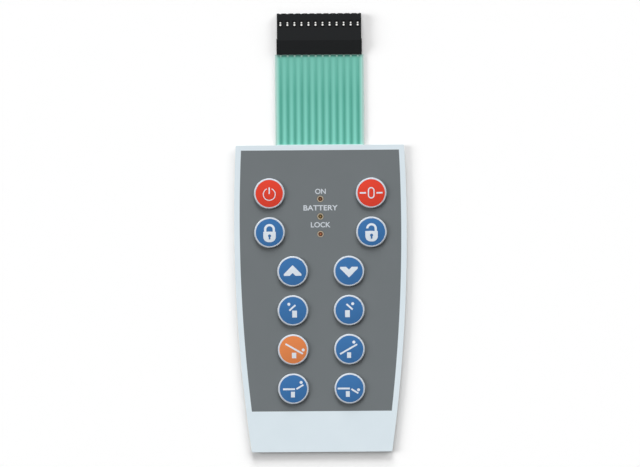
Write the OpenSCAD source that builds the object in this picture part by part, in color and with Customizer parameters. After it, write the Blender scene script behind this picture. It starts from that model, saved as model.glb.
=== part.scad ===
// Membrane keypad with a flat tail and a twelve-way socket connector, lying on its back.
// The origin is the middle of the panel's rear face. X runs across the panel, Y runs from
// the foot of the panel to the connector, and Z runs out of the printed face.

/* [Panel] */
// Height of the panel from its foot to the edge that the tail leaves
panel_h = 110.7; // [106:0.1:130]
// Width of the panel across its widest line
panel_w = 62.3; // [58:0.1:80]
// Height of the widest line above the middle of the panel
widest_y = 26.6; // [10:0.1:40]
// Radius of the two long curved sides
side_r = 576; // [400:1:1500]
// Rounding of the panel's corners
corner_r = 0.5; // [0.4:0.1:3]
// Step by which the inner layers stay inside the overlay's outline
edge_step = 0.12; // [0.05:0.01:0.3]

/* [Layers] */
// Thickness of the release liner
liner_t = 0.1; // [0.06:0.01:0.2]
// Thickness of the foam adhesive on the back
rear_adhesive_t = 0.7; // [0.6:0.05:1.2]
// Thickness of the circuit film and of its tail
circuit_t = 0.15; // [0.1:0.01:0.2]
// Thickness of the spacer that holds the domes
spacer_t = 0.35; // [0.3:0.01:0.4]
// Thickness of the adhesive under the overlay
overlay_adhesive_t = 0.1; // [0.06:0.01:0.15]
// Thickness of the overlay film
overlay_t = 0.25; // [0.2:0.01:0.3]

/* [Keys] */
// Distance from the panel's top edge to the first row of keys
key_margin = 17.45; // [15:0.05:20]
// Distance between two rows of keys
row_pitch = 14.1; // [12.5:0.05:15]
// Distance between the two columns of the upper rows
upper_pitch = 36.8; // [30:0.1:40]
// Distance between the two columns of the lower rows
lower_pitch = 20.32; // [14:0.1:30]
// Radius of the coloured crown that travels
crown_r = 4.88; // [4.6:0.01:5]
// Rise of the crown from its edge to its middle
crown_h = 0.25; // [0.1:0.01:0.35]
// Radial slit between the crown and the embossed shoulder
crown_gap = 0.1; // [0.06:0.01:0.15]
// Radial width of the embossed shoulder
shoulder_w = 0.65; // [0.55:0.05:1.1]
// Height of the embossed shoulder above the overlay
shoulder_h = 0.9; // [0.45:0.05:0.95]
// Thickness of the shoulder's wall where it meets the flat film
shoulder_t = 0.2; // [0.12:0.01:0.25]
// Diameter of the nub under each crown
nub_d = 3.2; // [2:0.1:4]

/* [Domes] */
// Diameter of a snap dome
dome_d = 8.4; // [7.6:0.1:8.8]
// Height of a snap dome over its pads
dome_h = 0.5; // [0.4:0.01:0.55]
// Sheet thickness of a snap dome
dome_t = 0.08; // [0.05:0.01:0.1]
// Free play between a nub and its dome
dome_play = 0.08; // [0.04:0.01:0.12]
// Radial clearance between a dome and its pocket
pocket_gap = 0.3; // [0.2:0.05:0.5]
// Thickness of the printed silver
silver_t = 0.03; // [0.02:0.005:0.04]
// Width of the ring pad that a dome stands on
ring_pad_w = 0.6; // [0.4:0.05:0.9]
// Diameter of the pad under the middle of a dome
middle_pad_d = 2.4; // [1.6:0.1:3]
// Width of the vent channels between pockets
vent_w = 0.8; // [0.5:0.1:1.5]

/* [Indicators] */
// Distance from the panel's top edge to the first indicator
led_margin = 19.45; // [18:0.05:21]
// Distance between two indicators
led_pitch = 6.35; // [5:0.05:7]
// Diameter of an indicator's window in the overlay
window_d = 2.4; // [2:0.1:2.8]
// Clearance round an LED's turret and over its base
led_gap = 0.1; // [0.05:0.01:0.2]
// Width of an LED's base
led_w = 2.6; // [2.2:0.1:2.8]
// Length of an LED's base
led_l = 3.2; // [2.8:0.1:3.6]
// Length of each silver terminal under an LED's base
terminal_l = 0.8; // [0.5:0.05:1]
// Depth by which an LED's turret stays below the printed face
led_recess = 0.05; // [0.02:0.01:0.1]
// Depth of the cup in an LED's turret
cup_h = 0.3; // [0.15:0.01:0.35]
// Width of the rim round an LED's cup
cup_rim = 0.35; // [0.1:0.01:0.4]

/* [Tail] */
// Length of the tail between the panel and the connector
tail_l = 32.85; // [20:0.05:60]
// Film left outside the connector's width on each side
tail_margin = 0.76; // [0.4:0.02:2]
// Width of a conductor
conductor_w = 0.9; // [0.6:0.02:1]
// Thickness of the cover coat over the conductors
coat_t = 0.04; // [0.02:0.005:0.06]
// Distance by which a ridge of the cover coat reaches past its conductor
coat_flank = 0.08; // [0.04:0.01:0.15]
// Bare film left along each side of the cover coat
coat_margin = 0.55; // [0.5:0.05:1.2]
// Bare conductor left between the cover coat and the connector
coat_stop = 0.2; // [0.1:0.1:2]

/* [Connector] */
// Number of contacts in the row
ways = 12; // [6:1:12]
// Distance between two contacts
pitch = 2.54; // [2.54:0.01:2.6]
// Length of the housing
housing_l = 14.8; // [14.4:0.1:18]
// Thickness of the housing
housing_t = 2.7; // [2.6:0.05:3.2]
// Length of the wider skirt at the tail's end
skirt_l = 5.6; // [5:0.1:6]
// Step by which the skirt is wider and thicker than the housing
skirt_step = 0.18; // [0.1:0.01:0.3]
// Length of the skirt's top that stays level before it slopes down to the film
skirt_flat = 0.6; // [0.3:0.1:1]
// Thickness of the skirt's lip over the film
lip_t = 0.35; // [0.3:0.05:0.5]
// Width of a contact's cavity
cavity_w = 2; // [1.9:0.02:2.1]
// Height of a contact's cavity
cavity_h = 1.78; // [1.74:0.02:1.9]
// Thickness of the wall that the pins enter
front_t = 0.7; // [0.5:0.05:1]
// Side of the square hole that a pin enters
pin_hole = 1; // [0.8:0.05:1.1]
// Width of the flare at the mouth of a pin hole
flare_d = 1.3; // [1.1:0.05:1.5]
// Depth of the flare at the mouth of a pin hole
flare_h = 0.4; // [0.2:0.05:0.45]
// Radius of the scallops along the mating edge
scallop_r = 0.9; // [0.7:0.05:1]
// Depth of the scallops along the mating edge
scallop_h = 0.18; // [0.12:0.01:0.3]
// Distance from the mating edge to the middle of the windows
sight_margin = 3.8; // [3.4:0.1:4.2]
// Width of a window over a contact
sight_w = 1.45; // [1.2:0.05:1.6]
// Length of a window over a contact
sight_l = 2.4; // [2.2:0.1:2.6]
// Chamfer along the housing's long edges
housing_edge = 0.2; // [0.1:0.05:0.3]

/* [Contacts] */
// Sheet thickness of a contact
contact_t = 0.2; // [0.15:0.01:0.22]
// Clearance between a contact and its cavity
contact_gap = 0.06; // [0.04:0.01:0.1]
// Length of a contact's box
box_l = 7.2; // [6.8:0.1:7.4]
// Height of a contact's box
box_h = 1.6; // [1.5:0.02:1.64]
// Length of the opening in the top of a contact's box
mouth_l = 3.8; // [3.5:0.1:4.2]
// Straight length of the crest of a contact's spring
crest_l = 1.1; // [0.9:0.05:1.2]
// Rise of the spring's crest above the sheet of the box
crest_h = 0.3; // [0.25:0.01:0.36]
// Depth of the spring's two dips below the sheet of the box
dip_h = 0.26; // [0.2:0.01:0.3]
// Inner radius of the spring's bends
bend_r = 0.15; // [0.1:0.01:0.17]
// Width of the spring
spring_w = 0.86; // [0.7:0.02:0.9]
// Width of the spring at its waist
waist_w = 0.5; // [0.4:0.02:0.6]
// Distance of the waist from the middle of the spring
waist_shift = 0.2; // [0:0.05:0.3]
// Width of a contact's crimp strip
strip_w = 1.4; // [1.36:0.02:1.5]
// Length of one crimp claw along the contact
claw_l = 0.9; // [0.6:0.05:1]
// Distance between the two pairs of claws
claw_pitch = 2; // [1.6:0.1:2.2]
// Distance from the housing's tail end to the first pair of claws
claw_margin = 1.6; // [1.3:0.1:1.8]
// Inner radius of a claw's curl
curl_r = 0.1; // [0.08:0.01:0.12]
// Straight rise of a claw above the film
claw_rise = 0.2; // [0.15:0.01:0.3]
// Clearance between the crimp and the film, and round a claw in its slit
crimp_gap = 0.04; // [0.02:0.01:0.05]

/* [Hidden] */
$fn = 96;
KEYS = ["power", "level", "lock", "unlock", "up", "down",
    "tilt_left", "tilt_right", "head_down", "head_up", "back_up", "back_down"];
LEDS = ["on", "battery", "lock"];

// Rows that use the upper pair of columns
upper_rows = 2;
// Pieces of a curve: a corner, a long side, an embossed shoulder, a bend of a spring
corner_steps = 5;
side_steps = 16;
shoulder_steps = 10;
// Power of the shoulder's curve: 2 is an ellipse, and more makes it fuller at its edge
shoulder_power = 3;
bend_steps = 5;
// Facets of a full circle of which only a shallow arc is used
shallow_fn = 256;
// Overshoot of a cut past the face that it opens
past = 1;
// Length by which joined pieces of one film run into each other
lap = 1;

// Heights of the layers
rear_z = liner_t;
circuit_z = rear_z + rear_adhesive_t;
spacer_z = circuit_z + circuit_t;
overlay_adhesive_z = spacer_z + spacer_t;
overlay_z = overlay_adhesive_z + overlay_adhesive_t;
face_z = overlay_z + overlay_t;

// Key and dome
opening_r = crown_r + crown_gap;
foot_r = opening_r + shoulder_w;
crown_z = face_z + shoulder_h;
crown_sphere_r = (crown_r * crown_r + crown_h * crown_h) / (2 * crown_h);
dome_z = spacer_z + silver_t;
dome_sphere_r = (dome_d * dome_d / 4 + dome_h * dome_h) / (2 * dome_h);
nub_z = dome_z + dome_h + dome_play;
pocket_r = dome_d / 2 + pocket_gap;
ring_pad_r = dome_d / 2 + pocket_gap / 2;

// LED
turret_r = window_d / 2 - led_gap;
led_base_h = spacer_t - led_gap;
turret_z = face_z - led_recess;

// Tail
tail_y = panel_h / 2;
tail_w = ways * pitch + 2 * tail_margin;
coat_l = tail_l - coat_stop;
ridge_w = conductor_w + 2 * coat_flank;
ridge_h = silver_t + coat_t;
ridge_r = (ridge_w * ridge_w / 4 + ridge_h * ridge_h) / (2 * ridge_h);

// Connector
housing_w = ways * pitch;
housing_y = tail_y + tail_l;
mating_y = housing_y + housing_l;
strip_z = circuit_z - crimp_gap - contact_t;
floor_t = strip_z - contact_gap;
box_y = mating_y - front_t - contact_gap - box_l;
box_w = cavity_w - 2 * contact_gap;
pin_z = strip_z + box_h / 2;
chamber_w = (ways - 1) * pitch + cavity_w;
tongue_w = chamber_w - 2 * contact_gap;
tongue_l = claw_margin + claw_pitch + 2 * claw_l;
chamber_l = tongue_l + contact_gap;
strip_l = box_y - housing_y - crimp_gap;
sight_y = mating_y - sight_margin;
claw_top_z = spacer_z + claw_rise;
claw_peak_z = claw_top_z + curl_r + contact_t;
mouth_z = spacer_z + silver_t + 2 * contact_gap;

// Spring of a contact: it falls from its crest at one slope and climbs back to the box at another
fall_a = 65;
climb_a = 40;
bend_mid = bend_r + contact_t / 2;
fall_l = (crest_h + dip_h - 2 * bend_mid * (1 - cos(fall_a))) / sin(fall_a);
climb_l = (dip_h - 2 * bend_mid * (1 - cos(climb_a))) / sin(climb_a);
crest_x = crest_l / 2;
dip_x = crest_x + 2 * bend_mid * sin(fall_a) + fall_l * cos(fall_a);
rest_x = dip_x + 2 * bend_mid * sin(climb_a) + climb_l * cos(climb_a);
notch_r = bend_mid;

function contact_name(i) = str("contact_", i < 10 ? "0" : "", i);

// Points of an arc, without its first and last few when trimmed
function arc(centre, r, from, to, steps, trim = 0) = [
    for (i = [trim : steps - trim])
        let (a = from + (to - from) * i / steps)
        centre + r * [cos(a), sin(a)]
];

function reversed(points) = [for (i = [len(points) - 1 : -1 : 0]) points[i]];
function mirrored(points) = [for (p = reversed(points)) [-p[0], p[1]]];

// Centre of the corner arc that meets the long side and the line y = edge, on the right
function corner_at(edge, inset) =
    let (r = corner_r - inset)
    let (y = edge > 0 ? edge - r : edge + r)
    let (reach = side_r - inset - r)
    [panel_w / 2 - side_r + sqrt(reach * reach - (y - widest_y) * (y - widest_y)), y];

// Outline of a layer of the panel: two long arcs, a straight head and foot, round corners
module panel_outline(inset) {
    side_centre = [panel_w / 2 - side_r, widest_y];
    edge = panel_h / 2 - inset;
    foot = corner_at(-edge, inset);
    head = corner_at(edge, inset);
    foot_a = atan2(foot[1] - widest_y, foot[0] - side_centre[0]);
    head_a = atan2(head[1] - widest_y, head[0] - side_centre[0]);
    right = concat(
        arc(foot, corner_r - inset, -90, foot_a, corner_steps),
        arc(side_centre, side_r - inset, foot_a, head_a, side_steps, 1),
        arc(head, corner_r - inset, head_a, 90, corner_steps)
    );
    polygon(concat(right, mirrored(right)));
}

module layer(z, t, inset) {
    translate([0, 0, z])
        linear_extrude(t)
            panel_outline(inset);
}

// A round cut through everything between two heights
module round_cut(r, z, t) {
    translate([0, 0, z - past])
        cylinder(r = r, h = t + 2 * past);
}

// A block centred on X that starts at y and z
module block(w, l, t, y, z) {
    translate([-w / 2, y, z])
        cube([w, l, t]);
}

function key_at(i) =
    let (row = floor(i / 2))
    let (columns = row < upper_rows ? upper_pitch : lower_pitch)
    [(i % 2 - 0.5) * columns, panel_h / 2 - key_margin - row * row_pitch];

function led_at(i) = [0, panel_h / 2 - led_margin - i * led_pitch];

function contact_x(i) = (i - (ways + 1) / 2) * pitch;

function key_colour(i) =
    i < 2 ? [0.86, 0.29, 0.24]
    : i == 8 ? [0.86, 0.54, 0.35]
    : [0.28, 0.46, 0.67];

module at_keys() {
    for (i = [0 : len(KEYS) - 1])
        translate(key_at(i))
            children();
}

module at_leds() {
    for (i = [0 : len(LEDS) - 1])
        translate(led_at(i))
            children();
}

module at_contacts() {
    for (i = [1 : ways])
        translate([contact_x(i), 0, 0])
            children();
}

// Two pairs of places along a contact's strip, the left one of each pair mirrored
module at_claws() {
    claw_x = (strip_w - contact_t) / 2;
    for (pair = [0, 1])
        translate([0, housing_y + claw_margin + pair * claw_pitch, 0]) {
            translate([claw_x, 0, 0])
                children();
            mirror([1, 0, 0])
                translate([claw_x, 0, 0])
                    children();
        }
}

// Paper that covers the rear adhesive until the keypad is fixed
module release_liner() {
    color([0.91, 0.88, 0.8])
        layer(0, liner_t, 0);
}

// Dark foam tape that fixes the keypad to its case
module rear_adhesive() {
    color([0.22, 0.23, 0.24])
        layer(rear_z, rear_adhesive_t, edge_step);
}

// Polyester film that carries the circuit, runs out as the tail and ends in the connector
module circuit_film() {
    color([0.72, 0.87, 0.83])
        difference() {
            union() {
                layer(circuit_z, circuit_t, edge_step);
                block(tail_w, tail_l + lap - crimp_gap, circuit_t, tail_y - lap, circuit_z);
                block(tongue_w, tongue_l + lap, circuit_t, housing_y - lap, circuit_z);
            }
            at_contacts()
                at_claws()
                    block(contact_t + 2 * crimp_gap, claw_l + 2 * crimp_gap, circuit_t + 2 * past,
                        -crimp_gap, circuit_z - past);
        }
}

// Printed silver: a ring and a middle pad under each dome, two terminals under each LED
module circuit_pads() {
    color([0.77, 0.78, 0.78])
        translate([0, 0, spacer_z]) {
            at_keys() {
                difference() {
                    cylinder(r = ring_pad_r, h = silver_t);
                    round_cut(dome_d / 2 - ring_pad_w, 0, silver_t);
                }
                cylinder(d = middle_pad_d, h = silver_t);
            }
            at_leds()
                for (end = [-1, 1])
                    block(led_w, terminal_l, silver_t,
                        end * (led_l - terminal_l) / 2 - terminal_l / 2, 0);
        }
}

// Printed silver conductors along the tail, bare where the contacts are crimped on
module tail_conductors() {
    color([0.7, 0.72, 0.72])
        at_contacts()
            block(conductor_w, tail_l + tongue_l, silver_t, tail_y, spacer_z);
}

// Turquoise cover coat, printed over the conductors and raised by each of them
module tail_cover_coat() {
    color([0.44, 0.74, 0.67])
        difference() {
            union() {
                block(tail_w - 2 * coat_margin, coat_l, coat_t, tail_y, spacer_z);
                at_contacts()
                    translate([0, tail_y + coat_l, spacer_z])
                        rotate([90, 0, 0])
                            linear_extrude(coat_l)
                                coat_ridge();
            }
            at_contacts()
                block(conductor_w, coat_l + 2 * past, silver_t + past, tail_y - past, spacer_z - past);
        }
}

// Low round ridge of the cover coat over one conductor
module coat_ridge() {
    intersection() {
        translate([0, ridge_h - ridge_r])
            circle(r = ridge_r);
        translate([-ridge_w / 2, 0])
            square([ridge_w, ridge_h]);
    }
}

// Spacer film with a pocket for each dome and LED, and vents that join the pockets of a column
module dome_spacer() {
    color([0.87, 0.9, 0.91])
        difference() {
            layer(spacer_z, spacer_t, edge_step);
            at_keys()
                round_cut(pocket_r, spacer_z, spacer_t);
            for (i = [0 : len(KEYS) - 3])
                if (key_at(i)[0] == key_at(i + 2)[0])
                    translate(key_at(i + 2))
                        block(vent_w, row_pitch, spacer_t + 2 * past, 0, spacer_z - past);
            at_leds()
                block(led_w + 2 * pocket_gap, led_l + 2 * pocket_gap, spacer_t + 2 * past,
                    -led_l / 2 - pocket_gap, spacer_z - past);
        }
}

// Adhesive sheet between the spacer and the overlay, open under the keys and windows
module overlay_adhesive() {
    color([0.9, 0.92, 0.93])
        difference() {
            layer(overlay_adhesive_z, overlay_adhesive_t, edge_step);
            at_keys()
                round_cut(foot_r, overlay_adhesive_z, overlay_adhesive_t);
            at_leds()
                round_cut(window_d / 2 + led_gap, overlay_adhesive_z, overlay_adhesive_t);
        }
}

// Quarter of a full ellipse, from its top to its side
function quarter(centre, w, h) = [
    for (i = [0 : shoulder_steps])
        let (a = 90 * i / shoulder_steps)
        centre + [w * pow(sin(a), 2 / shoulder_power), h * pow(cos(a), 2 / shoulder_power)]
];

// Section of the film where it falls from the edge of a crown, ever steeper, to the flat face
module shoulder_section() {
    top = quarter([opening_r, overlay_t], shoulder_w, shoulder_h);
    under = quarter([opening_r, 0], shoulder_w - shoulder_t, shoulder_h);
    polygon(concat(top, [[foot_r, 0]], reversed(under)));
}

// Printed polyester face, embossed round each key, with a window for each indicator
module graphic_overlay() {
    color([0.44, 0.46, 0.47]) {
        difference() {
            layer(overlay_z, overlay_t, 0);
            at_keys()
                round_cut(foot_r, overlay_z, overlay_t);
            at_leds()
                round_cut(window_d / 2, overlay_z, overlay_t);
        }
        at_keys()
            translate([0, 0, overlay_z])
                rotate_extrude()
                    shoulder_section();
    }
}

// Domed crown of one key, cut free at its edge, with the nub that meets the dome
module key(i) {
    crown_top = crown_z + crown_h;
    color(key_colour(i))
        translate(key_at(i))
            rotate_extrude() {
                intersection() {
                    translate([0, crown_top - crown_sphere_r])
                        difference() {
                            circle(r = crown_sphere_r, $fn = shallow_fn);
                            circle(r = crown_sphere_r - overlay_t, $fn = shallow_fn);
                        }
                    translate([0, nub_z])
                        square([crown_r, crown_top - nub_z]);
                }
                translate([0, nub_z])
                    square([nub_d / 2, crown_top - overlay_t / 2 - nub_z]);
            }
}

// Stainless snap dome that stands on its ring pad under one key
module dome(i) {
    dome_top = dome_z + dome_h;
    color([0.75, 0.76, 0.77])
        translate(key_at(i))
            rotate_extrude()
                intersection() {
                    translate([0, dome_top - dome_sphere_r])
                        difference() {
                            circle(r = dome_sphere_r, $fn = shallow_fn);
                            circle(r = dome_sphere_r - dome_t, $fn = shallow_fn);
                        }
                    translate([0, dome_z])
                        square([dome_d / 2, dome_h]);
                }
}

// Low LED: a base on its two terminals and a round turret with a cup, standing in its window
module led(i) {
    cup_r = turret_r - cup_rim;
    base_z = spacer_z + silver_t;
    color([0.6, 0.57, 0.52])
        translate(led_at(i))
            difference() {
                union() {
                    block(led_w, led_l, led_base_h - silver_t, -led_l / 2, base_z);
                    translate([0, 0, base_z])
                        cylinder(r = turret_r, h = turret_z - base_z);
                }
                translate([0, 0, turret_z - cup_h])
                    cylinder(r1 = cup_r - cup_h, r2 = cup_r + past, h = cup_h + past);
            }
}

// Section of the housing across its length, with its long edges chamfered
module housing_section(step) {
    w = housing_w / 2 + step;
    t = housing_t + step;
    c = housing_edge;
    polygon([[-w, c], [c - w, 0], [w - c, 0], [w, c], [w, t - c], [w - c, t], [c - w, t], [-w, t - c]]);
}

// A length of the housing, from y towards the mating edge
module housing_run(step, y, l) {
    translate([0, y + l, 0])
        rotate([90, 0, 0])
            linear_extrude(l)
                housing_section(step);
}

// A cut across the housing, from its section along Y
module cross_cut(w, points) {
    translate([-w / 2, housing_y, 0])
        rotate([90, 0, 90])
            linear_extrude(w)
                polygon(points);
}

// Slope of the skirt's top, from its level part down to the lip over the film
module skirt_slope() {
    skirt_top = housing_t + skirt_step;
    lip_z = mouth_z + lip_t;
    cross_cut(housing_w + 2 * past, [
        [-past, lip_z],
        [0, lip_z],
        [skirt_l - skirt_flat, skirt_top],
        [skirt_l - skirt_flat, skirt_top + past],
        [-past, skirt_top + past]
    ]);
}

// Room for the crimps: a slot for the film that opens up to the claws and then to the cavities
module crimp_chamber() {
    cross_cut(chamber_w, [
        [-past, floor_t],
        [chamber_l, floor_t],
        [chamber_l, floor_t + cavity_h],
        [claw_margin, claw_peak_z + contact_gap],
        [0, mouth_z],
        [-past, mouth_z]
    ]);
}

// Moulded housing: a skirt over the crimps, then one cavity, window and pin hole per contact
module connector_housing() {
    cavity_l = housing_l - chamber_l - front_t;
    color([0.14, 0.15, 0.16])
        difference() {
            union() {
                housing_run(0, housing_y, housing_l);
                housing_run(skirt_step, housing_y, skirt_l);
            }
            skirt_slope();
            crimp_chamber();
            at_contacts() {
                block(cavity_w, cavity_l + past, cavity_h, mating_y - front_t - cavity_l - past, floor_t);
                block(pin_hole, front_t + 2 * past, pin_hole,
                    mating_y - front_t - past, pin_z - pin_hole / 2);
                block(sight_w, sight_l, housing_t, sight_y - sight_l / 2, pin_z);
                translate([0, mating_y - scallop_h, pin_z])
                    rotate([90, 0, 0]) {
                        cylinder(d1 = flare_d, d2 = pin_hole, h = flare_h);
                        translate([0, 0, -scallop_h - past])
                            cylinder(d = flare_d, h = scallop_h + past);
                    }
                translate([0, mating_y - scallop_h + scallop_r, -past])
                    cylinder(r = scallop_r, h = housing_t + 2 * past);
            }
        }
}

// Stamped contact: a box with a bent spring in its top, a strip, and four claws through the film
module contact(i) {
    color([0.82, 0.82, 0.8])
        translate([contact_x(i), 0, 0]) {
            difference() {
                block(box_w, box_l, box_h, box_y, strip_z);
                block(box_w - 2 * contact_t, box_l + 2 * past, box_h - 2 * contact_t,
                    box_y - past, strip_z + contact_t);
                block(box_w - 2 * contact_t, mouth_l, box_h, sight_y - mouth_l / 2, strip_z + contact_t);
            }
            contact_spring();
            block(strip_w, strip_l + contact_t, contact_t, box_y - strip_l, strip_z);
            at_claws()
                contact_claw();
        }
}

// One face of the spring from its crest to the box, offset from the middle of its sheet
function spring_face(offset) = concat(
    arc([crest_x, crest_h - bend_mid], bend_mid + offset, 90, 90 - fall_a, bend_steps),
    arc([dip_x, bend_mid - dip_h], bend_mid - offset, 270 - fall_a, 270 + climb_a, bend_steps),
    arc([rest_x, -bend_mid], bend_mid + offset, 90 + climb_a, 90, bend_steps),
    [[mouth_l / 2 + contact_t, offset]]
);

// Spring that bridges the mouth of a contact's box: a waisted crest between two dips
module contact_spring() {
    top = spring_face(contact_t / 2);
    under = spring_face(-contact_t / 2);
    translate([0, sight_y, strip_z + box_h - contact_t / 2])
        difference() {
            translate([-spring_w / 2, 0, 0])
                rotate([90, 0, 90])
                    linear_extrude(spring_w)
                        polygon(concat(mirrored(top), top, reversed(concat(mirrored(under), under))));
            for (side = [-1, 1])
                translate([side * (waist_w / 2 + notch_r), waist_shift, -past])
                    cylinder(r = notch_r, h = 2 * past);
        }
}

// One claw, standing on its strip: through the film, over in a curl, and down on the conductor
module contact_claw() {
    claw_z = strip_z + contact_t / 2;
    tip_z = spacer_z + silver_t + crimp_gap;
    curl_mid = curl_r + contact_t / 2;
    block(contact_t, claw_l, claw_top_z - claw_z, 0, claw_z);
    translate([-curl_mid, claw_l, claw_top_z])
        rotate([90, 0, 0])
            rotate_extrude(angle = 180)
                translate([curl_r, 0])
                    square([contact_t, claw_l]);
    translate([-2 * curl_mid, 0, 0])
        block(contact_t, claw_l, claw_top_z - tip_z, 0, tip_z);
}

release_liner();
rear_adhesive();
circuit_film();
circuit_pads();
tail_conductors();
tail_cover_coat();
dome_spacer();
overlay_adhesive();
graphic_overlay();
for (i = [0 : len(KEYS) - 1])
    key(i);
for (i = [0 : len(KEYS) - 1])
    dome(i);
for (i = [0 : len(LEDS) - 1])
    led(i);
connector_housing();
for (i = [1 : ways])
    contact(i);
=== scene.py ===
import math

import bpy
from mathutils import Matrix, Vector


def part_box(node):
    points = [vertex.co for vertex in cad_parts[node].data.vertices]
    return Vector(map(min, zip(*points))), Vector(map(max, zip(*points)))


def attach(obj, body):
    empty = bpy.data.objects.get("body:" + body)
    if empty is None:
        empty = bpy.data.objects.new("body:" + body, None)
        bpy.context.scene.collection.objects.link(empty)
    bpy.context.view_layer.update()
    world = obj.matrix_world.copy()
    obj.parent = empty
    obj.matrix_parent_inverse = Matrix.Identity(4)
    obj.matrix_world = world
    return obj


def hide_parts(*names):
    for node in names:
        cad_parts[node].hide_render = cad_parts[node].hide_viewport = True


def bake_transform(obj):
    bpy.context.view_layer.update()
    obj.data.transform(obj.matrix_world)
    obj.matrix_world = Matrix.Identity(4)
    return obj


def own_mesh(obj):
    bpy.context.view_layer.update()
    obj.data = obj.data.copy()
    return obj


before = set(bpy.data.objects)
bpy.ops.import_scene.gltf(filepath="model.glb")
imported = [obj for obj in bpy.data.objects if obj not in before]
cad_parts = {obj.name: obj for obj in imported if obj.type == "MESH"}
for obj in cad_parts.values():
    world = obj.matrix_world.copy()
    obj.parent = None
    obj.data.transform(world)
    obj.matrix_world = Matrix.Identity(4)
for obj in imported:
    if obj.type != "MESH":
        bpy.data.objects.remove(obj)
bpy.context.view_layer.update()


# Release liner: a sheet of siliconed paper, die-cut to the panel's outline.
# It covers the foam tape until the keypad is stuck down, and is the face that lies on the table.
# The paper is cream, calendered smooth, with faint fibres along its length.

MM = 0.001
clouds_per_metre = 90
cloud_share = 0.6


def shade(red, green, blue):
    """A colour as it reads on a screen, 0 to 255 a channel, as linear light."""

    def linear(level):
        share = level / 255
        return share / 12.92 if share <= 0.04045 else ((share + 0.055) / 1.055) ** 2.4

    return (linear(red), linear(green), linear(blue), 1)


def wire(tree, kind, inputs, **options):
    """Adds a shader node and fills its inputs with plain values or with other nodes' outputs."""
    node = tree.nodes.new("ShaderNode" + kind)
    for option, value in options.items():
        setattr(node, option, value)
    for socket, value in inputs.items():
        if isinstance(value, bpy.types.NodeSocket):
            tree.links.new(value, node.inputs[socket])
        else:
            node.inputs[socket].default_value = value
    return node


def sums(tree, operation, *values):
    """The output of a Math node."""
    return wire(tree, "Math", dict(enumerate(values)), operation=operation).outputs[0]


def vectors(tree, operation, *values):
    """The output of a Vector Math node that gives a vector."""
    return wire(tree, "VectorMath", dict(enumerate(values)), operation=operation).outputs["Vector"]


def mixed(tree, mask, under, over):
    """The colour under where the mask is 0 and over where it is 1."""
    # A Mix node takes its two colours in sockets 6 and 7, and gives the mixed one as its output 2
    return wire(tree, "Mix", {0: mask, 6: under, 7: over}, data_type="RGBA").outputs[2]


def own_place(tree):
    """Where a point of a piece is at rest, in metres."""
    return wire(tree, "TexCoord", {}).outputs["Object"]


def new_group(name, inputs, outputs):
    """An empty node group with its named sockets, and the sockets of the nodes that stand for them."""
    tree = bpy.data.node_groups.new(name, "ShaderNodeTree")
    for socket, kind in inputs.items():
        tree.interface.new_socket(name=socket, in_out="INPUT", socket_type="NodeSocket" + kind)
    for socket, kind in outputs.items():
        tree.interface.new_socket(name=socket, in_out="OUTPUT", socket_type="NodeSocket" + kind)
    return tree, tree.nodes.new("NodeGroupInput").outputs, tree.nodes.new("NodeGroupOutput").inputs


def place_group(tree, group, inputs):
    """The outputs of a node group that is placed in a material with its own values."""
    return wire(tree, "Group", inputs, node_tree=group).outputs


def make_surface_grain():
    """Fine grain of a finish: two tones, an uneven gloss and a height, at so many grains a metre."""
    tree, given, out = new_group(
        "surface_grain",
        {"Light": "Color", "Dark": "Color", "Grains": "Vector", "Gloss": "Float", "Uneven": "Float"},
        {"Colour": "Color", "Roughness": "Float", "Height": "Float"},
    )
    place = own_place(tree)
    grain_place = vectors(tree, "MULTIPLY", place, given["Grains"])
    grain = wire(tree, "TexNoise", {"Vector": grain_place, "Scale": 1, "Detail": 3}).outputs["Fac"]
    cloud = wire(tree, "TexNoise", {"Vector": place, "Scale": clouds_per_metre, "Detail": 2}).outputs["Fac"]
    fine_share = sums(tree, "MULTIPLY", grain, 1 - cloud_share)
    blotch = sums(tree, "MULTIPLY_ADD", cloud, cloud_share, fine_share)
    tree.links.new(mixed(tree, blotch, given["Dark"], given["Light"]), out["Colour"])
    off_middle = sums(tree, "SUBTRACT", blotch, 0.5)
    gloss = sums(tree, "MULTIPLY_ADD", off_middle, given["Uneven"], given["Gloss"])
    tree.links.new(gloss, out["Roughness"])
    tree.links.new(grain, out["Height"])
    return tree


surface_grain = make_surface_grain()


def place_grain(tree, light, dark, grains, gloss, uneven):
    """The surface grain in a material, with that finish's own tones, scale and gloss."""
    return place_group(tree, surface_grain, {
        "Light": light, "Dark": dark, "Grains": grains, "Gloss": gloss, "Uneven": uneven})


def new_finish(name, **constants):
    """A material with one Principled shader, whose constant sockets are set here."""
    material = bpy.data.materials.new(name)
    material.use_nodes = True
    shader = material.node_tree.nodes["Principled BSDF"]
    for socket, value in constants.items():
        shader.inputs[socket.replace("_", " ")].default_value = value
    return material, material.node_tree, shader


def raise_grain(tree, shader, height, depth):
    """Turns a height of the finish into its bump."""
    bump = wire(tree, "Bump", {"Height": height, "Distance": depth, "Strength": 1})
    tree.links.new(bump.outputs["Normal"], shader.inputs["Normal"])


def lay_grain(tree, shader, colour, grain, depth):
    """Gives the shader its colour, and the gloss and the bump of the grain."""
    tree.links.new(colour, shader.inputs["Base Color"])
    tree.links.new(grain["Roughness"], shader.inputs["Roughness"])
    raise_grain(tree, shader, grain["Height"], depth)


def grained_finish(name, light, dark, grains, gloss, uneven, depth, **constants):
    """A plain finish whose tone, gloss and height follow the surface grain."""
    material, tree, shader = new_finish(name, **constants)
    grain = place_grain(tree, light, dark, grains, gloss, uneven)
    lay_grain(tree, shader, grain["Colour"], grain, depth)
    return material


def dress(node, material):
    """Gives a carried-over solid its finish."""
    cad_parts[node].material_slots[0].material = material


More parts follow.
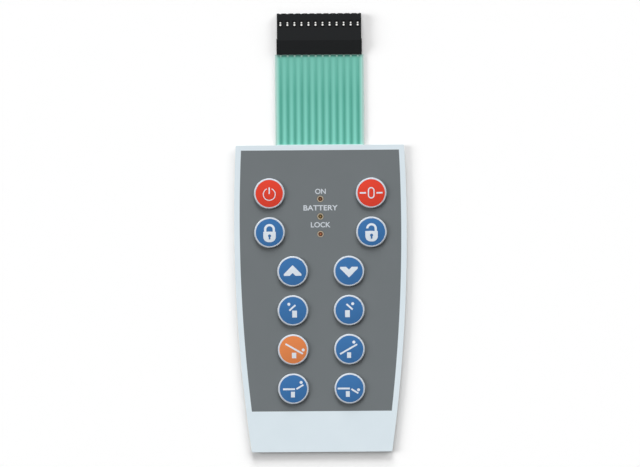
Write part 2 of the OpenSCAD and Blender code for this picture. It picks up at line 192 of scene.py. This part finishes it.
dress("release_liner", grained_finish(
    "liner_paper", shade(236, 229, 210), shade(221, 211, 187),
    grains=(9000, 1500, 9000), gloss=0.5, uneven=0.2, depth=0.004 * MM))


# Rear adhesive: dark closed-cell foam tape, laid on the liner and coated with glue on both faces.
# Its cut edge shows all round between the liner and the films as a row of tiny cells.

cells_per_metre = 6500
cell_depth = 0.03 * MM


def foam_finish():
    """Dark foam, with cells that are deepest in their middle and painted darker there, as shade in the
    hollows.
    """
    material, tree, shader = new_finish("foam_adhesive", Roughness=0.85)
    pattern = {"Vector": own_place(tree), "Scale": cells_per_metre}
    cells = wire(tree, "TexVoronoi", pattern).outputs["Distance"]
    # The middle of each cell is painted darker, as shade in its hollow
    tone = mixed(tree, cells, shade(42, 44, 47), shade(78, 80, 83))
    tree.links.new(tone, shader.inputs["Base Color"])
    raise_grain(tree, shader, cells, cell_depth)
    return material


dress("rear_adhesive", foam_finish())


# Circuit film: clear polyester, printed in silver and cut in one piece with the tail.
# The sheet is bonded inside the panel, and its bare margins show along both sides of the tail.
# The film passes light, so that what lies below shows through it.

dress("circuit_film", grained_finish(
    "clear_film", shade(194, 226, 219), shade(176, 217, 208),
    grains=(4000, 900, 4000), gloss=0.25, uneven=0.15, depth=0.001 * MM, Alpha=0.8))


# Silver ink: screen-printed pads below the domes and LEDs, and the twelve conductors of the tail.
# The dried ink is a matt silver full of flakes; where it shows beside the connector it is painted a dark
# green, the coat's tint with painted shade from the housing's lip.

flakes = (16000, 16000, 16000)
dress("circuit_pads", grained_finish(
    "silver_ink", shade(225, 226, 224), shade(178, 180, 180),
    grains=flakes, gloss=0.42, uneven=0.3, depth=0.004 * MM, Metallic=0.85))
# Beside the connector the bare ends are painted dark green, with painted shade from the housing's lip
dress("tail_conductors", grained_finish(
    "shaded_conductor_ink", shade(112, 166, 154), shade(78, 128, 116),
    grains=flakes, gloss=0.6, uneven=0.2, depth=0.004 * MM, Specular_IOR_Level=0.1))


# Cover coat: turquoise ink, printed over the tail to insulate the conductors.
# It looks pale over the clear film and deeper over the silver, and thins out along both sides.
# By the housing it is painted darker as the shade of the housing's lip, with a painted highlight over each
# conductor, and by the panel it ends in a pale band.

contact_pitch = 2.54 * MM
thin_edge = 1.05 * MM
# How far from the housing the painted shade of its lip reaches
housing_shade_reach = 0.9 * MM
bare_start = 0.3 * MM
# How far along the tail the painted shade towards the connector reaches its full depth
shade_full_share = 0.6
fade_from, faded_lines = 0.55, 0.4
# Where on the wave over each conductor the painted highlight starts
painted_glint_from = 0.7
coat_low, coat_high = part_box("tail_cover_coat")


def axes_of(tree, vector):
    """The X, Y and Z of a vector."""
    return wire(tree, "SeparateXYZ", {0: vector}).outputs


def ramp(tree, value, start, end, first=0, last=1, **options):
    """Goes from first to last while the value goes from start to end, and stays level past both."""
    levels = {"Value": value, "From Min": start, "From Max": end, "To Min": first, "To Max": last}
    return wire(tree, "MapRange", levels, **options).outputs[0]


def cover_coat_finish():
    """Turquoise with a deeper line over each conductor, changing along and across the tail."""
    material, tree, shader = new_finish("turquoise_coat", Specular_IOR_Level=0.25)
    axes = axes_of(tree, own_place(tree))
    grain = place_grain(
        tree, shade(136, 214, 198), shade(126, 205, 189), grains=(5000, 700, 5000), gloss=0.42, uneven=0.2)
    # The conductors lie half a pitch to either side of the middle, so this wave is 1 over each of them
    turn = sums(tree, "MULTIPLY", axes["X"], 2 * math.pi / contact_pitch)
    stripe = sums(tree, "MULTIPLY_ADD", sums(tree, "COSINE", turn), -0.5, 0.5)
    # Away from the panel the coat is painted darker, as shade towards the connector, and its lines grow faint
    along = ramp(tree, axes["Y"], coat_low.y, coat_high.y)
    shaded_film_tone = mixed(tree, ramp(tree, along, 0, shade_full_share), grain["Colour"], shade(120, 195, 179))
    line = sums(tree, "MULTIPLY", stripe, ramp(tree, along, fade_from, 1, first=1, last=faded_lines))
    lined = mixed(tree, line, shaded_film_tone, shade(82, 161, 144))
    # By the housing it is painted dark as the shade of the housing's lip, and a painted highlight, a pale
    # glint, stands over each conductor there
    housing_shade_mask = ramp(tree, axes["Y"], coat_high.y - housing_shade_reach, coat_high.y)
    housing_shaded_tone = mixed(tree, housing_shade_mask, lined, shade(64, 140, 122))
    painted_glint = sums(tree, "MULTIPLY", housing_shade_mask, ramp(tree, stripe, painted_glint_from, 1))
    glinted_tone = mixed(tree, painted_glint, housing_shaded_tone, shade(222, 250, 243))
    # Along both sides it thins out, and by the panel it has not quite closed, so the film shows pale
    thin = ramp(tree, sums(tree, "ABSOLUTE", axes["X"]), coat_high.x - thin_edge, coat_high.x)
    thinned = mixed(tree, thin, glinted_tone, shade(166, 214, 204))
    bare = ramp(tree, axes["Y"], coat_low.y + bare_start, coat_low.y + bare_start / 2)
    tone = mixed(tree, bare, thinned, shade(208, 236, 233))
    lay_grain(tree, shader, tone, grain, 0.002 * MM)
    return material


dress("tail_cover_coat", cover_coat_finish())


# Dome spacer and overlay adhesive: the inner sheets, with a pocket for each dome and LED.
# Only their cut edges show, as grey lines between the foam and the overlay.

dress("dome_spacer", grained_finish(
    "spacer_film", shade(150, 157, 161), shade(128, 136, 140),
    grains=(6000, 6000, 6000), gloss=0.4, uneven=0.2, depth=0.002 * MM))
dress("overlay_adhesive", grained_finish(
    "adhesive_film", shade(160, 166, 169), shade(140, 146, 150),
    grains=(3000, 3000, 3000), gloss=0.3, uneven=0.2, depth=0.002 * MM))


# Snap domes: thin sprung steel, pressed from strip and laid in the spacer's pockets.
# Each one stands on its ring pad, and is pressed flat on its middle pad by the key above it.

dome_steel = grained_finish(
    "dome_steel", shade(214, 213, 209), shade(186, 185, 181),
    grains=(20000, 1200, 20000), gloss=0.26, uneven=0.2, depth=0.001 * MM, Metallic=1)
strip_t = 0.08 * MM
cap_sides = 96
dome_rings = 8
smooth_angle = math.radians(35)
key_names = ("power", "level", "lock", "unlock", "up", "down",
             "tilt_left", "tilt_right", "head_down", "head_up", "back_up", "back_down")


def start_piece(name):
    """Names the primitive that was just added, as the start of a new piece."""
    piece = bpy.context.object
    piece.name = name
    piece.data.name = name
    return piece


def settle(piece, place):
    """Puts a finished piece at its place, with the place in its mesh."""
    piece.data.transform(Matrix.Translation(place) @ piece.matrix_world)
    piece.matrix_world = Matrix.Identity(4)
    return piece


def copy_piece(piece, name):
    """A copy of a piece with its own mesh."""
    copy = piece.copy()
    copy.data = piece.data.copy()
    copy.name = name
    copy.data.name = name
    bpy.context.scene.collection.objects.link(copy)
    return copy


def over_middle(low, high, z):
    """The point over the middle of a box, at a height."""
    return Vector(((low.x + high.x) / 2, (low.y + high.y) / 2, z))


def select_points(piece, chosen):
    """Selects, in edit mode, just the points that pass the test."""
    bpy.ops.mesh.select_all(action="DESELECT")
    bpy.ops.mesh.select_mode(type="VERT")
    bpy.ops.object.mode_set(mode="OBJECT")
    for point in piece.data.vertices:
        point.select = chosen(point.co)
    bpy.ops.object.mode_set(mode="EDIT")


def model_cap(name, radius, rise, rings):
    """A shallow cap: a disc inset in rings, with its middle lifted so that it falls away as a sphere."""
    bpy.ops.object.select_all(action="DESELECT")
    bpy.ops.mesh.primitive_circle_add(vertices=cap_sides, radius=radius, fill_type="NGON", location=(0, 0, 0))
    cap = start_piece(name)
    bpy.ops.object.mode_set(mode="EDIT")
    bpy.ops.mesh.select_all(action="SELECT")
    for ring in range(rings):
        bpy.ops.mesh.inset(thickness=radius / (rings + 1))
    bpy.ops.mesh.poke()
    select_points(cap, lambda point: point.length < radius / 100)
    bpy.ops.transform.translate(
        value=(0, 0, rise), use_proportional_edit=True,
        proportional_edit_falloff="INVERSE_SQUARE", proportional_size=radius)
    bpy.ops.object.mode_set(mode="OBJECT")
    bpy.ops.object.shade_smooth()
    return cap


def model_dome(low, high):
    """One dome: a cap that fits its box, given the thickness of the strip."""
    dome = model_cap("dome", (high.x - low.x) / 2, high.z - low.z - strip_t, dome_rings)
    strip = dome.modifiers.new("strip", "SOLIDIFY")
    strip.thickness = strip_t
    strip.offset = 1
    bpy.ops.object.modifier_apply(modifier=strip.name)
    bpy.ops.object.shade_smooth_by_angle(angle=smooth_angle)
    dome.data.materials.append(dome_steel)
    return dome


dome_start = model_dome(*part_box("dome_power"))
for key in key_names:
    low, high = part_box("dome_" + key)
    seat = over_middle(low, high, low.z)
    dome = settle(copy_piece(dome_start, "snap_dome_" + key), seat)
    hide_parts("dome_" + key)
    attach(dome, "panel")
    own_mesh(dome)
bpy.data.objects.remove(dome_start)


# Indicator LEDs: a beige moulded base with a round turret that stands in the overlay's window.
# The turret's cup is filled with tinted resin, which has crept over the rim and sunk in the middle.
# The chip glimmers through the resin as a paler spot.

led_body = grained_finish(
    "led_body", shade(204, 190, 168), shade(182, 168, 144),
    grains=(12000, 12000, 12000), gloss=0.4, uneven=0.2, depth=0.003 * MM, Specular_IOR_Level=0.2)
cup_top_r, cup_floor_r, cup_depth = 0.74 * MM, 0.45 * MM, 0.29 * MM
creep_r, creep_h = 0.82 * MM, 0.03 * MM
sink_r, sink_depth = 0.95 * cup_top_r, 0.06 * MM
resin_sides, resin_rings = 48, 4
spot_core_r, spot_edge_r = 0.104 * MM, 0.416 * MM
resin_depths = shade(66, 48, 33)
resin_tints = {
    "on": (shade(82, 57, 40), shade(146, 97, 63)),
    "battery": (shade(79, 76, 43), shade(156, 113, 65)),
    "lock": (shade(114, 62, 44), shade(186, 117, 78)),
}


def model_resin():
    """The resin in a cup: a blunt cone whose top creeps out, is inset in rings and sinks in the middle."""
    bpy.ops.object.select_all(action="DESELECT")
    bpy.ops.mesh.primitive_cone_add(
        vertices=resin_sides, radius1=cup_floor_r, radius2=cup_top_r, depth=cup_depth,
        location=(0, 0, -cup_depth / 2))
    resin = settle(start_piece("led_resin"), (0, 0, 0))
    bpy.ops.object.mode_set(mode="EDIT")
    select_points(resin, lambda point: point.z > -cup_depth / 2)
    bpy.ops.mesh.extrude_region_move(TRANSFORM_OT_translate={"value": (0, 0, creep_h)})
    bpy.ops.transform.resize(value=(creep_r / cup_top_r, creep_r / cup_top_r, 1))
    for ring in range(resin_rings):
        bpy.ops.mesh.inset(thickness=creep_r / (resin_rings + 1))
    bpy.ops.mesh.poke()
    select_points(resin, lambda point: point.z > -cup_depth / 2 and point.xy.length < cup_floor_r / 10)
    bpy.ops.transform.translate(
        value=(0, 0, -sink_depth), use_proportional_edit=True,
        proportional_edit_falloff="SMOOTH", proportional_size=sink_r)
    bpy.ops.object.mode_set(mode="OBJECT")
    bpy.ops.object.shade_smooth_by_angle(angle=smooth_angle)
    return resin


def apart(tree, place, other):
    """How far two points are from each other."""
    return wire(tree, "VectorMath", {0: place, 1: other}, operation="DISTANCE").outputs["Value"]


def resin_finish(led, tint, spot, middle):
    """Clear tinted resin, with the chip's spot in its middle."""
    material, tree, shader = new_finish("led_resin_" + led, Specular_IOR_Level=0.2)
    reach = apart(tree, own_place(tree), middle)
    glimmer = ramp(tree, reach, spot_edge_r, spot_core_r, interpolation_type="SMOOTHSTEP")
    grain = place_grain(tree, tint, resin_depths, grains=(3000, 3000, 3000), gloss=0.2, uneven=0.1)
    tree.links.new(mixed(tree, glimmer, grain["Colour"], spot), shader.inputs["Base Color"])
    tree.links.new(grain["Roughness"], shader.inputs["Roughness"])
    return material


resin_start = model_resin()
for led, (tint, spot) in resin_tints.items():
    dress("led_" + led, led_body)
    low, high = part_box("led_" + led)
    cup_middle = over_middle(low, high, high.z)
    resin = settle(copy_piece(resin_start, "led_resin_" + led), cup_middle)
    resin.data.materials.append(resin_finish(led, tint, spot, cup_middle))
    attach(resin, "panel")
bpy.data.objects.remove(resin_start)


# Graphic overlay: one sheet of textured polyester, printed on its rear face and embossed round the keys.
# A dark grey field stands inside a pale border, with a white ring on the shoulder of every key.

side_r = 576 * MM
widest_y = 26.6 * MM
field_half_w = 29.17 * MM
field_top, field_foot = 53.53 * MM, -40.7 * MM
face_z = 1.65 * MM
ring_rise = 0.69 * MM
print_edge = 0.02 * MM
texture, texture_depth = (9000, 9000, 9000), 0.003 * MM
overlay_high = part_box("graphic_overlay")[1]


def inside(tree, distance, edge=print_edge):
    """A mask that is 1 where a signed distance is below 0, with a soft edge, as of a screen print."""
    return ramp(tree, distance, edge, -edge)


def overlay_finish():
    """The print of the sheet: the border and the field by their outline, and the rings by their height."""
    material, tree, shader = new_finish("overlay_print", Specular_IOR_Level=0.1)
    axes = axes_of(tree, own_place(tree))
    # Each side of the field is an arc on the same centre as that side of the panel
    arc_centre_x = overlay_high.x - side_r
    half = wire(tree, "CombineXYZ", {0: sums(tree, "ABSOLUTE", axes["X"]), 1: axes["Y"]}).outputs[0]
    reach = apart(tree, half, (arc_centre_x, widest_y, 0))
    beyond_side = sums(tree, "SUBTRACT", reach, field_half_w - arc_centre_x)
    beyond_top = sums(tree, "SUBTRACT", axes["Y"], field_top)
    beyond_foot = sums(tree, "SUBTRACT", field_foot, axes["Y"])
    beyond_end = sums(tree, "MAXIMUM", beyond_top, beyond_foot)
    field = inside(tree, sums(tree, "MAXIMUM", beyond_side, beyond_end))
    ring = inside(tree, sums(tree, "SUBTRACT", face_z + ring_rise, axes["Z"]))
    pale = place_grain(tree, shade(221, 232, 238), shade(210, 222, 229), texture, gloss=0.36, uneven=0.2)
    grey = place_grain(tree, shade(114, 119, 122), shade(107, 113, 115), texture, gloss=0.36, uneven=0.2)
    ground = mixed(tree, field, pale["Colour"], grey["Colour"])
    tone = mixed(tree, ring, ground, shade(195, 202, 211))
    lay_grain(tree, shader, tone, grey, texture_depth)
    return material


dress("graphic_overlay", overlay_finish())


# Keys: the embossed crown of the overlay film, printed in colour with a pale symbol.
# The film is one piece with the shoulder, so it stays fast at its edge and dishes when the key below it is
# pressed; here each crown is a mesh at rest.

crown_edge_r = 4.98 * MM
crown_print_r = 4.95 * MM
crown_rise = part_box("key_power")[1].z - overlay_high.z
crown_lift = 0.004 * MM
crown_rings = 12
symbol_white = shade(214, 222, 230)
red = ("red_film", shade(219, 70, 53), shade(211, 62, 45))
blue = ("blue_film", shade(63, 112, 165), shade(55, 105, 158))
orange = ("orange_film", shade(218, 131, 79), shade(210, 124, 72))


def make_bar_shape():
    """How far a point is outside a bar: its middle, its half length and half width, and its turn."""
    tree, given, out = new_group(
        "bar_shape",
        {"Place": "Vector", "Middle": "Vector", "Half": "Vector", "Turn": "Float"},
        {"Outside": "Float"},
    )
    place = vectors(tree, "SUBTRACT", given["Place"], given["Middle"])
    back = sums(tree, "MULTIPLY", given["Turn"], -1)
    turned = wire(tree, "VectorRotate", {"Vector": place, "Angle": back}, rotation_type="Z_AXIS").outputs[0]
    past = axes_of(tree, vectors(tree, "SUBTRACT", vectors(tree, "ABSOLUTE", turned), given["Half"]))
    tree.links.new(sums(tree, "MAXIMUM", past["X"], past["Y"]), out["Outside"])
    return tree


def make_round_shape():
    """How far a point is outside a disc that is drawn out upwards and downwards by a straight length."""
    tree, given, out = new_group(
        "round_shape",
        {"Place": "Vector", "Middle": "Vector", "Radius": "Float", "Straight": "Float"},
        {"Outside": "Float"},
    )
    place = vectors(tree, "ABSOLUTE", vectors(tree, "SUBTRACT", given["Place"], given["Middle"]))
    axes = axes_of(tree, place)
    end_y = sums(tree, "MAXIMUM", sums(tree, "SUBTRACT", axes["Y"], given["Straight"]), 0)
    end_place = wire(tree, "CombineXYZ", {0: axes["X"], 1: end_y}).outputs[0]
    reach = apart(tree, end_place, (0, 0, 0))
    tree.links.new(sums(tree, "SUBTRACT", reach, given["Radius"]), out["Outside"])
    return tree


bar_shape = make_bar_shape()
round_shape = make_round_shape()


def bar(tree, place, x, y, length, width, turn=0):
    """A straight bar with flat ends, in millimetres and degrees."""
    return place_group(tree, bar_shape, {
        "Place": place, "Middle": (x * MM, y * MM, 0), "Half": (length / 2 * MM, width / 2 * MM, 1),
        "Turn": math.radians(turn)})["Outside"]


def dot(tree, place, x, y, radius, straight=0):
    """A disc, or a slot with round ends where it has a straight length, in millimetres."""
    return place_group(tree, round_shape, {
        "Place": place, "Middle": (x * MM, y * MM, 0),
        "Radius": radius * MM, "Straight": straight * MM})["Outside"]


def hoop(tree, place, x, y, radius, width, straight=0):
    """A ring, or a long ring, of that width along its middle line."""
    line = sums(tree, "ABSOLUTE", dot(tree, place, x, y, radius, straight))
    return sums(tree, "SUBTRACT", line, width / 2 * MM)


def joined(tree, *shapes):
    """The union of shapes."""
    outside = shapes[0]
    for shape in shapes[1:]:
        outside = sums(tree, "MINIMUM", outside, shape)
    return outside


def cut(tree, shape, *cutters):
    """A shape with other shapes cut out of it."""
    for cutter in cutters:
        shape = sums(tree, "MAXIMUM", shape, sums(tree, "MULTIPLY", cutter, -1))
    return shape


def power_symbol(tree, place):
    gap = bar(tree, place, 0, 2, 1.7, 3)
    stroke = bar(tree, place, 0, 1, 0.45, 2.34)
    return joined(tree, cut(tree, hoop(tree, place, 0, -0.3, 2.15, 0.31), gap), stroke)


def level_symbol(tree, place):
    zero = hoop(tree, place, 0, 0, 1, 0.41, straight=0.85)
    dashes = (bar(tree, place, side * 3, 0, 2.2, 0.55) for side in (-1, 1))
    return joined(tree, zero, *dashes)


def padlock(tree, place, shackle):
    """A padlock's body with a round foot and a keyhole, under its shackle."""
    corners = (dot(tree, place, side * 0.35, -1.54, 1.9) for side in (-1, 1))
    body = joined(tree, bar(tree, place, 0, -0.7, 4.5, 2), bar(tree, place, 0, -2.2, 0.7, 2.48), *corners)
    keyhole = joined(tree, dot(tree, place, 0, -1.2, 0.55), bar(tree, place, 0, -1.85, 0.6, 1.2))
    return joined(tree, cut(tree, body, keyhole), shackle)


def lock_symbol(tree, place):
    below = bar(tree, place, 0, -2.2, 8, 4.4)
    return padlock(tree, place, cut(tree, hoop(tree, place, 0, 0.3, 1.55, 0.82, straight=0.85), below))


def unlock_symbol(tree, place):
    below = bar(tree, place, 0, -2.2, 8, 4.4)
    gap = bar(tree, place, -2, 0, 2.6, 2.5)
    return padlock(tree, place, cut(tree, hoop(tree, place, 0, 0.36, 1.52, 0.8, straight=0.85), below, gap))


def chevron(tree, place, way):
    """Two broad arms that meet in a point, with their ends cut level and upright."""
    arms = (bar(tree, place, side * 1.73, way * -0.86, 6.9, 1.96, turn=-45 * side * way) for side in (-1, 1))
    ends = (bar(tree, place, side * 5.17, 0, 4, 12) for side in (-1, 1))
    below = bar(tree, place, 0, way * -3.56, 12, 4)
    return cut(tree, joined(tree, *arms), below, *ends)


def up_symbol(tree, place):
    return chevron(tree, place, 1)


def down_symbol(tree, place):
    return chevron(tree, place, -1)


def table_symbol(tree, place, head, block, *boards):
    """A treatment table from its side or end: the head's dot, the block that carries it, and the boards."""
    return joined(tree, dot(tree, place, *head, 0.54), bar(tree, place, *block),
                  *(bar(tree, place, *board) for board in boards))


def tilt_left_symbol(tree, place):
    return table_symbol(tree, place, (-1.44, 2.29), (0.6, -1.26, 1.7, 2.5), (-0.18, 0.99, 2.95, 0.62, 42))


def tilt_right_symbol(tree, place):
    return table_symbol(tree, place, (1.26, 2.35), (-0.66, -1.26, 1.7, 2.5), (0.12, 1.23, 2.95, 0.62, -42))


def head_down_symbol(tree, place):
    return table_symbol(tree, place, (3.6, -0.12), (0.3, -2.08, 1.57, 2), (0.36, 0.3, 7.2, 0.6, -30))


def head_up_symbol(tree, place):
    return table_symbol(tree, place, (1.57, 2.59), (-0.2, -2.08, 1.45, 2), (-0.33, 0.06, 7.1, 0.6, 29.5))


def back_up_symbol(tree, place):
    return table_symbol(tree, place, (2.77, 2.29), (-0.2, -2.05, 1.4, 2.05),
                        (-1.6, -0.12, 4.3, 0.66), (2.35, 0.69, 2.95, 0.6, 31))


def back_down_symbol(tree, place):
    return table_symbol(tree, place, (3.13, -0.48), (-0.75, -1.99, 1.4, 2.05),
                        (-2.2, 0, 4.4, 0.66), (1.78, -0.96, 2.9, 0.6, -32))


def crown_finish(key, light, dark, symbol, middle):
    """The print of one key: its colour, its symbol, and the start of the white ring at the very edge."""
    material, tree, shader = new_finish("crown_print_" + key, Specular_IOR_Level=0.1)
    from_middle = (-middle.x, -middle.y, 0)
    centred = wire(tree, "Mapping", {"Vector": own_place(tree), "Location": from_middle}).outputs[0]
    place = vectors(tree, "MULTIPLY", centred, (1, 1, 0))
    grain = place_grain(tree, light, dark, texture, gloss=0.34, uneven=0.2)
    beyond = sums(tree, "MULTIPLY", dot(tree, place, 0, 0, crown_print_r / MM), -1)
    pale = inside(tree, joined(tree, symbol(tree, place), beyond))
    lay_grain(tree, shader, mixed(tree, pale, grain["Colour"], symbol_white), grain, texture_depth)
    return material


key_prints = {
    "power": (red, power_symbol), "level": (red, level_symbol),
    "lock": (blue, lock_symbol), "unlock": (blue, unlock_symbol),
    "up": (blue, up_symbol), "down": (blue, down_symbol),
    "tilt_left": (blue, tilt_left_symbol), "tilt_right": (blue, tilt_right_symbol),
    "head_down": (orange, head_down_symbol), "head_up": (blue, head_up_symbol),
    "back_up": (blue, back_up_symbol), "back_down": (blue, back_down_symbol),
}
crown_start = model_cap("crown", crown_edge_r, crown_rise, crown_rings)
for key, ((film, light, dark), symbol) in key_prints.items():
    low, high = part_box("key_" + key)
    middle = over_middle(low, high, high.z - crown_rise + crown_lift)
    crown = settle(copy_piece(crown_start, "crown_" + key), middle)
    crown.data.materials.append(crown_finish(key, light, dark, symbol, middle))
    dress("key_" + key, crown.data.materials[0])
    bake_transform(crown)
bpy.data.objects.remove(crown_start)


# Labels: the words over the indicators, screen-printed in pale ink like the border.
# They are drawn as text, thickened to a bold weight, and laid on the grey field as a film of ink.

label_ink = grained_finish(
    "label_ink", shade(206, 212, 218), shade(194, 200, 207),
    grains=texture, gloss=0.4, uneven=0.2, depth=0.002 * MM, Specular_IOR_Level=0.1)
cap_height = 1.9 * MM
ink_thickness = 0.008 * MM
labels = {"ON": (3.85 * MM, 38.6 * MM), "BATTERY": (12.35 * MM, 32.66 * MM), "LOCK": (7.1 * MM, 26.53 * MM)}
label_x = 0.08 * MM
bold = 0.018
half_depth = 0.5

for word, (width, y) in labels.items():
    bpy.ops.object.select_all(action="DESELECT")
    bpy.ops.object.text_add(location=(0, 0, 0))
    bpy.context.object.data.body = word
    bpy.context.object.data.offset = bold
    bpy.context.object.data.extrude = half_depth
    bpy.ops.object.convert(target="MESH")
    label = start_piece("label_" + word.lower())
    points = [point.co for point in label.data.vertices]
    low_x, high_x = min(p.x for p in points), max(p.x for p in points)
    low_y, high_y = min(p.y for p in points), max(p.y for p in points)
    # The text is one unit deep, so centred on its foot it is scaled to the size of the print
    label.data.transform(Matrix.Translation((-(low_x + high_x) / 2, -(low_y + high_y) / 2, half_depth)))
    label.data.transform(Matrix.Diagonal(
        (width / (high_x - low_x), cap_height / (high_y - low_y), ink_thickness, 1)))
    settle(label, (label_x, y, face_z))
    label.data.materials.clear()
    label.data.materials.append(label_ink)
    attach(label, "panel")


# Connector housing: black glass-filled nylon, moulded in one piece and pushed over the crimped tail.
# A little wider skirt slopes down to the film, and a window over each contact shows its spring.

dress("connector_housing", grained_finish(
    "black_moulding", shade(31, 33, 34), shade(24, 25, 27),
    grains=(11000, 11000, 11000), gloss=0.5, uneven=0.25, depth=0.006 * MM, Specular_IOR_Level=0.15))


# Contacts: stamped from tinned strip, each a box with a bent spring and a strip of claws.
# The claws go through the film, curl over and grip the bare silver.
# Two spots on the spring's crest are painted bright as highlights, and the rest is painted dark grey as the
# shade inside the housing.

highlight_low_z, highlight_high_z = 2.05 * MM, 2.25 * MM
highlight_edge = 0.06 * MM
# Where each spot lies along the contact, and its radius, in millimetres as dot takes them
crest_y = 99.2
highlight_spots = ((crest_y + 0.43, 0.28), (crest_y - 0.38, 0.34))


def contact_finish():
    """Tin painted dark grey as shade, with painted highlights in the spots where they are up on the crest."""
    material, tree, shader = new_finish("tinned_contact", Metallic=1)
    axes = axes_of(tree, own_place(tree))
    # Across the row, every contact is measured from its own middle
    past_gap = sums(tree, "FLOORED_MODULO", axes["X"], contact_pitch)
    across = sums(tree, "SUBTRACT", past_gap, contact_pitch / 2)
    place = wire(tree, "CombineXYZ", {0: across, 1: axes["Y"]}).outputs[0]
    spots = joined(tree, *(dot(tree, place, 0, y, radius) for y, radius in highlight_spots))
    crest = ramp(tree, axes["Z"], highlight_low_z, highlight_high_z)
    painted_highlight = sums(tree, "MULTIPLY", inside(tree, spots, highlight_edge), crest)
    grain = place_grain(
        tree, shade(252, 252, 249), shade(236, 236, 232), grains=(14000, 1500, 14000), gloss=0.3, uneven=0.25)
    # The contact is painted dark grey as shade, save for the painted highlights
    tone = mixed(tree, painted_highlight, shade(46, 46, 47), grain["Colour"])
    lay_grain(tree, shader, tone, grain, 0.002 * MM)
    return material


tinned_contact = contact_finish()
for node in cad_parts:
    if node.startswith("contact_"):
        dress(node, tinned_contact)


# Table, lights and camera: the keypad lies on a white table, photographed from almost straight above.
# Soft lamps stand low behind the connector and to both sides, so that shadows fall towards the foot.

table_size = 6
table_drop = 0.02 * MM
table_white = 0.985
table_glow = 0.015


def is_seen(tree, gloss=1):
    """1 for what the camera sees straight or through a clear film, and a share of it in a gloss."""
    path = wire(tree, "LightPath", {}).outputs
    straight = sums(tree, "MAXIMUM", path["Is Camera Ray"], path["Is Transmission Ray"])
    return sums(tree, "MAXIMUM", straight, sums(tree, "MULTIPLY", path["Is Glossy Ray"], gloss))


bpy.ops.object.select_all(action="DESELECT")
bpy.ops.mesh.primitive_plane_add(size=table_size, location=(0, 0, -table_drop))
table = settle(start_piece("table"), (0, 0, 0))
table_finish, table_tree, table_shader = new_finish("table_white", Roughness=0.9, Specular_IOR_Level=0)
table_shader.inputs["Base Color"].default_value = (table_white, table_white, table_white, 1)
table_shader.inputs["Emission Color"].default_value = (1, 1, 1, 1)
seen_glow = sums(table_tree, "MULTIPLY", is_seen(table_tree), table_glow)
table_tree.links.new(seen_glow, table_shader.inputs["Emission Strength"])
table.data.materials.append(table_finish)

# The backdrop is white to the camera, and a gloss sees a white ceiling over walls that darken to the floor
sky_level = 0.12
wall_level = 0.2
wall_up, ceiling_up = 0.3, 0.9
world = bpy.data.worlds.new("studio")
world.use_nodes = True
bpy.context.scene.world = world
room = world.node_tree
background = room.nodes["Background"]
background.inputs["Color"].default_value = (1, 1, 1, 1)
upward = axes_of(room, wire(room, "TexCoord", {}).outputs["Generated"])["Z"]
room_level = ramp(room, upward, wall_up, ceiling_up, first=wall_level, last=1)
room.links.new(sums(room, "MAXIMUM", is_seen(room, room_level), sky_level), background.inputs["Strength"])

# Each lamp's bearing and height in degrees, and its share of the light on the table
lamps = {
    "left": (-83, 27, 0.29),
    "back": (-2, 20, 0.38),
    "right": (47, 27, 0.17),
    "top": (-8, 75, 0.04),
}
lamp_softness = math.radians(30)
for name, (bearing, height, share) in lamps.items():
    lamp = bpy.data.lights.new(name + "_lamp", "SUN")
    lamp.angle = lamp_softness
    lamp.energy = share * math.pi / math.sin(math.radians(height))
    lamp_object = bpy.data.objects.new(name + "_lamp", lamp)
    lamp_object.matrix_world = (
        Matrix.Rotation(math.radians(-bearing), 4, "Z") @ Matrix.Rotation(math.radians(height - 90), 4, "X"))
    lamp_object.visible_glossy = False  # No lamp glares off the flat faces at low views
    bpy.context.scene.collection.objects.link(lamp_object)

image_w = 640
mm_per_pixel = 0.361
aim = Vector((-0.19, 23.375, 1.65)) * MM
camera_distance = 1.4
tilt, roll = math.radians(2), math.radians(0.42)
camera_data = bpy.data.cameras.new("camera")
camera_data.sensor_width = 36
camera_data.lens = camera_data.sensor_width * camera_distance / (image_w * mm_per_pixel * MM)
camera_data.clip_start, camera_data.clip_end = 0.01, 20
camera = bpy.data.objects.new("camera", camera_data)
turned = Matrix.Rotation(tilt, 4, "X") @ Matrix.Rotation(-roll, 4, "Z")
camera.matrix_world = Matrix.Translation(aim) @ turned @ Matrix.Translation((0, 0, camera_distance))
bpy.context.scene.collection.objects.link(camera)
bpy.context.scene.camera = camera
bpy.context.scene.view_settings.view_transform = "Standard"
